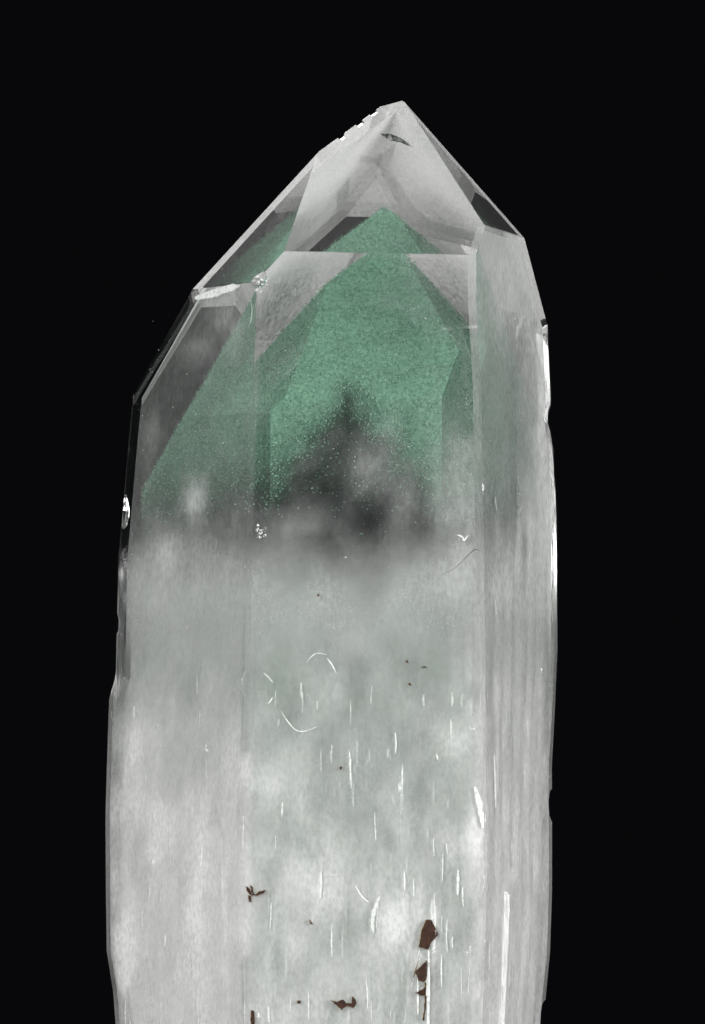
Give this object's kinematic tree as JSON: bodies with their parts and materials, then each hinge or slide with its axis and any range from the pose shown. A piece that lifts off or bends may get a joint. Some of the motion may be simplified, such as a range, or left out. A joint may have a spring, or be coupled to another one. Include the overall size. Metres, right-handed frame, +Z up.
{
  "type": "fuchsite in quartz",
  "caption": "Upright six-sided quartz point, milky below and clear above, with a tent-shaped green fuchsite phantom sealed inside; stands on its cut base.",
  "frame": {"origin": "middle of the crystal's box on the flat cut base", "axes": "+Z up the crystal's long axis to the tip; -Y out of the broad front prism face; +X to the right seen from the front"},
  "size_m": [0.0348, 0.0313, 0.076],
  "materials": {
    "quartz": "natural crystal faces, glassy, clear above and milky white below, with a few iron-brown pits",
    "fuchsite": "fine green chromium mica, scaly, with a soft pearly glint"
  },
  "bodies": {
    "root": {"quartz_shaft": "quartz", "quartz_point": "quartz", "fuchsite_phantom": "fuchsite"}
  },
  "joints": []
}
